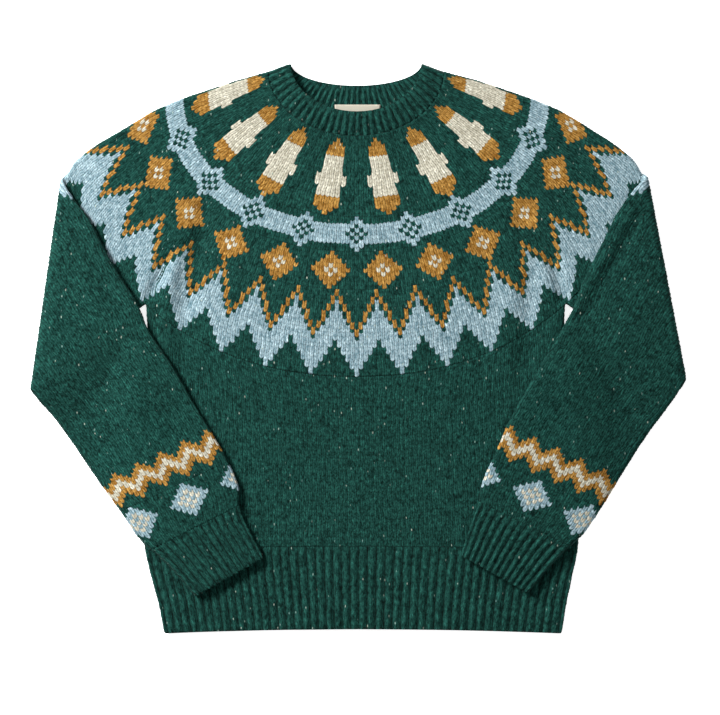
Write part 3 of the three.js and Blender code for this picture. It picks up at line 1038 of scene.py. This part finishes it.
class Socket:
    """An output of a shader node that can be used in sums."""

    def __init__(self, shader, socket):
        self.shader, self.socket = shader, socket

    def sum(self, kind, *values):
        """A Math node of a kind."""
        return self.shader.node("ShaderNodeMath", *values, operation=kind)

    def __add__(self, other):
        return self.sum("ADD", self, other)

    def __sub__(self, other):
        return self.sum("SUBTRACT", self, other)

    def __rsub__(self, other):
        return self.sum("SUBTRACT", other, self)

    def __mul__(self, other):
        return self.sum("MULTIPLY", self, other)

    def __truediv__(self, other):
        return self.sum("DIVIDE", self, other)

    __radd__, __rmul__ = __add__, __mul__

    def part(self):
        """What is left over past the whole number."""
        return self.sum("FRACT", self)

    def near(self, centre, width):
        """exp(-((value - centre) / width)^2), a soft line."""
        away = (self - centre) / width
        return self.sum("EXPONENT", away * away * -1)

    def size(self):
        """The value without its sign."""
        return self.sum("ABSOLUTE", self)

    def wave(self):
        """sin(2 pi value), one wave for each whole number."""
        return self.sum("SINE", self * (2 * np.pi))

    def above(self, low, high):
        """0 below low and 1 above high, softly in between."""
        return self.shader.node(
            "ShaderNodeMapRange", self, low, high, 0.0, 1.0, interpolation_type="SMOOTHSTEP"
        )


class Shader:
    """A material under construction."""

    def __init__(self, name, roughness, sheen):
        self.material = bpy.data.materials.new(name)
        self.material.use_nodes = True
        self.tree = self.material.node_tree
        self.skin = self.tree.nodes["Principled BSDF"]
        self.skin.inputs["Roughness"].default_value = roughness
        self.skin.inputs["Sheen Weight"].default_value = sheen
        self.skin.inputs["Sheen Roughness"].default_value = 0.5
        self.skin.inputs["Specular IOR Level"].default_value = 0.08

    def put(self, target, value):
        """Links a socket to an input, or sets the input to a plain value."""
        if isinstance(value, Socket):
            self.tree.links.new(value.socket, target)
        else:
            target.default_value = value

    def node(self, kind, *values, output=0, **settings):
        """Any node: its settings by name and its inputs in order or by name."""
        node = self.tree.nodes.new(kind)
        named = settings.pop("inputs", {})
        for name, value in settings.items():
            setattr(node, name, value)
        for target, value in zip(node.inputs, values):
            if value is not None:
                self.put(target, value)
        for name, value in named.items():
            self.put(node.inputs[name], value)
        return Socket(self, node.outputs[output])

    def mix(self, factor, a, b):
        """Colour a where the factor is 0 and colour b where it is 1."""
        node = self.tree.nodes.new("ShaderNodeMix")
        node.data_type = "RGBA"
        for target, value in zip((node.inputs[0], node.inputs[6], node.inputs[7]), (factor, a, b)):
            self.put(target, value)
        return Socket(self, node.outputs[2])

    def dim(self, colour, amount):
        """A colour made darker or lighter by an amount."""
        grey = self.node("ShaderNodeCombineXYZ", amount, amount, amount)
        return self.node("ShaderNodeVectorMath", colour, grey, operation="MULTIPLY")

    def noise(self, at, scale, detail=2.0):
        """Soft clouds from 0 to 1, this many to a unit of the place."""
        return self.node(
            "ShaderNodeTexNoise",
            inputs={"Vector": at, "Scale": scale, "Detail": detail, "Roughness": 0.6},
        )

    def finish(self, colour, height, strength=0.6):
        """Connects the colour and the bumps; heights are in metres."""
        self.put(self.skin.inputs["Base Color"], colour)
        bump = self.node(
            "ShaderNodeBump", inputs={"Height": height, "Strength": strength, "Distance": 1.0}
        )
        self.put(self.skin.inputs["Normal"], bump)
        return self.material


# %% The yarns
YARNS = {  # the darkest and the lightest fibres of each yarn, as seen on a screen
    "green": ((0, 23, 20), (34, 86, 77)),  # used where the chart names no other
    "blue": ((84, 118, 129), (176, 199, 207)),
    "ochre": ((112, 70, 14), (190, 146, 76)),
    "cream": ((156, 151, 132), (221, 217, 199)),
}


def wool(name, ribbed):
    """Heathered wool, knitted plain or in single rib."""
    wool = Shader(name, 0.95, 0.02)
    place = wool.node("ShaderNodeTexCoord", output=3)
    chart = wool.node("ShaderNodeUVMap", uv_map="chart")
    across = wool.node("ShaderNodeSeparateXYZ", chart)
    along = Socket(wool, across.socket.node.outputs[1])
    yarn = wool.node("ShaderNodeAttribute", attribute_name="yarn", output=1)
    stitch = wool.node("ShaderNodeAttribute", attribute_name="stitch", output=1)
    chance = wool.node("ShaderNodeTexWhiteNoise", stitch, noise_dimensions="3D")

    # tone: fine fibres, blotches, strands that follow the legs, and loose hairs over them
    fibre = wool.noise(place, 700.0, 3.0)
    blotch = wool.noise(place, 160.0)
    leg = across.part()
    slant = along * 2.0 + (leg - 0.5).size() * 2.4
    strand_at = wool.node("ShaderNodeCombineXYZ", across * 9.0, slant, chance * 9.0)
    strands = wool.noise(strand_at, 1.0)
    hair_at = wool.node("ShaderNodeCombineXYZ", across * 2.6, along * 0.9, fibre * 0.6)
    hairs = wool.noise(hair_at, 1.0, 3.0)
    tone = hairs * 0.9 + strands * 0.5 + fibre * 0.3 + blotch * 0.25 + chance * 0.1
    tone = tone.above(0.76, 1.3)

    # yarn: the green one everywhere, and the others where the chart asks for them
    shades = {k: wool.mix(tone, linear(*a), linear(*b)) for k, (a, b) in YARNS.items()}
    masks = wool.node("ShaderNodeSeparateXYZ", yarn)
    colour = shades["green"]
    for i, k in enumerate(("blue", "ochre", "cream")):
        colour = wool.mix(Socket(wool, masks.socket.node.outputs[i]), colour, shades[k])

    # specks: the middles of some cells of a Voronoi pattern, twice as long as wide
    drawn_out = wool.node("ShaderNodeVectorMath", place, (1.3, 0.6, 1.3), operation="MULTIPLY")
    flecks = wool.node(
        "ShaderNodeTexVoronoi", inputs={"Vector": drawn_out, "Scale": 115.0, "Randomness": 1.0}
    )
    kind = wool.node("ShaderNodeSeparateXYZ", Socket(wool, flecks.socket.node.outputs[1]))
    speck = (1 - flecks.above(0.05, 0.14)) * kind.above(0.5, 0.55) * 0.8
    pale = wool.mix(
        Socket(wool, kind.socket.node.outputs[1]), linear(116, 160, 154), linear(200, 206, 190)
    )
    colour = wool.mix(speck, colour, pale)

    # shade: between columns, between the legs of a stitch and between rows
    side, middle = leg.near(0.0, 0.1) + leg.near(1.0, 0.1), leg.near(0.5, 0.08)
    ends = along.part().near(0.0, 0.12) + along.part().near(1.0, 0.12)
    shade = side * 0.5 + middle * 0.4 + ends * 0.28
    if ribbed:
        shade = (across * 0.5).part().near(0.75, 0.15) * 0.6 + shade * 0.4
    glint = hairs.above(0.58, 0.7) * strands.above(0.45, 0.6) * 0.8
    colour = wool.dim(colour, (1 - shade * (blotch * 1.2 + 0.4)) * (1 + glint))

    # bumps: the twist of the yarn's plies, and the fibres
    plies = (along * 3 + (leg - 0.5).size() * 4).wave()
    height = plies * 0.00006 + fibre * 0.0004
    return wool.finish(colour, height)


knit = wool("heathered_wool", False)
ribs = wool("heathered_wool_rib", True)

# %% The label's cotton
cotton = Shader("woven_cotton", 0.8, 0.1)
weave_at = cotton.node("ShaderNodeUVMap", uv_map="chart")
warp = cotton.node("ShaderNodeSeparateXYZ", weave_at)
weft = Socket(cotton, warp.socket.node.outputs[1])
threads = (warp * 2.0).wave() * (weft * 2.0).wave()
cotton_colour = cotton.mix(threads * 0.5 + 0.5, linear(164, 159, 144), linear(186, 181, 166))
label_cotton = cotton.finish(cotton_colour, threads * 0.00004)

# %% Dress the pieces
PIECES = [  # piece, CAD node, slot, material
    (yoke_front, "yoke_front", "yoke", knit),
    (yoke_back, "yoke_back", "yoke", knit),
    (body_front, "body_front", "plain_knit", knit),
    (body_back, "body_back", "plain_knit", knit),
    (hem, "hem_rib", "rib", ribs),
    (sleeve_pieces["left"], "sleeve_left", "plain_knit", knit),
    (sleeve_pieces["right"], "sleeve_right", "plain_knit", knit),
    (cuff_pieces["left"], "cuff_left", "rib", ribs),
    (cuff_pieces["right"], "cuff_right", "rib", ribs),
    (neck_front, "neckband_front", "rib", ribs),
    (neck_back, "neckband_back", "rib", ribs),
    (label, "label", "label", label_cotton),
]
for piece, node, slot, material in PIECES:
    piece.data.materials.append(material)
    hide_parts(node)

# %% [markdown]
# ## The cut of the cloth
#
# The size that each half of the yoke and of the neckband had before it was folded is worked
# out as the ring segment that it is: its widest ring, its depth and its area.

# %% Flat sizes
def ring_cut(front, low, high):
    """The widest ring and the depth of half a yoke, and its area from ring to ring."""
    depths = np.linspace(low, high, 40)
    widths = sum(np.interp(depths, DEPTHS, rings[front][2][:, i]) for i in (0, 1))
    return (widths.max() * MM, (high - low) * MM), widths.mean() * (high - low) * MM * MM


for piece, front in ((yoke_front, True), (yoke_back, False)):
    size, area = ring_cut(front, BAND_DEPTH, YOKE_DEPTH)
for piece, front in ((neck_front, True), (neck_back, False)):
    size, area = ring_cut(front, 0, BAND_DEPTH)

# %% [markdown]
# ## The table, the light and the camera
#
# The jumper lies on a pale table under a large soft light from the upper left, and the
# camera looks straight down at it from three metres, far enough that nothing bends. The
# table glows a little, as a lit sheet of paper does, so that it stays nearly white.

# %% Stage
bpy.context.scene.view_settings.view_transform = "Standard"
cam_data = bpy.data.cameras.new("camera")
cam_data.lens = 125
camera = bpy.data.objects.new("camera", cam_data)
camera.location = (0.002, -0.0112, 3.01)
bpy.context.scene.collection.objects.link(camera)
bpy.context.scene.camera = camera

table_mesh = bpy.data.meshes.new("table")
WIDE, LOW = 30, -0.0005  # metres; just under the jumper
corners = [(-WIDE, -WIDE, LOW), (WIDE, -WIDE, LOW), (WIDE, WIDE, LOW), (-WIDE, WIDE, LOW)]
table_mesh.from_pydata(corners, [], [(0, 1, 2, 3)])
table = bpy.data.objects.new("table", table_mesh)
paper = bpy.data.materials.new("paper")
paper.use_nodes = True
for name, value in (
    ("Base Color", (0.93, 0.93, 0.93, 1)), ("Roughness", 0.9),
    ("Emission Color", (1, 1, 1, 1)), ("Emission Strength", 0.8),
):
    paper.node_tree.nodes["Principled BSDF"].inputs[name].default_value = value
table.data.materials.append(paper)
bpy.context.scene.collection.objects.link(table)


def lamp(name, place, size, watts):
    """A square soft light at a place, turned to the middle of the table."""
    data = bpy.data.lights.new(name, "AREA")
    data.shape, data.size, data.energy = "SQUARE", size, watts
    light = bpy.data.objects.new(name, data)
    light.location = place
    towards = -np.array(place, float)
    light.rotation_euler = Vector(towards).to_track_quat("-Z", "Y").to_euler()
    bpy.context.scene.collection.objects.link(light)


lamp("window", (-1.9, 1.45, 1.55), 0.8, 170)
lamp("bounce", (1.6, -1.4, 2.4), 2.5, 10)
sky = bpy.data.worlds.new("sky")
sky.use_nodes = True
sky.node_tree.nodes["Background"].inputs["Color"].default_value = (1, 1, 1, 1)
sky.node_tree.nodes["Background"].inputs["Strength"].default_value = 0.28
bpy.context.scene.world = sky
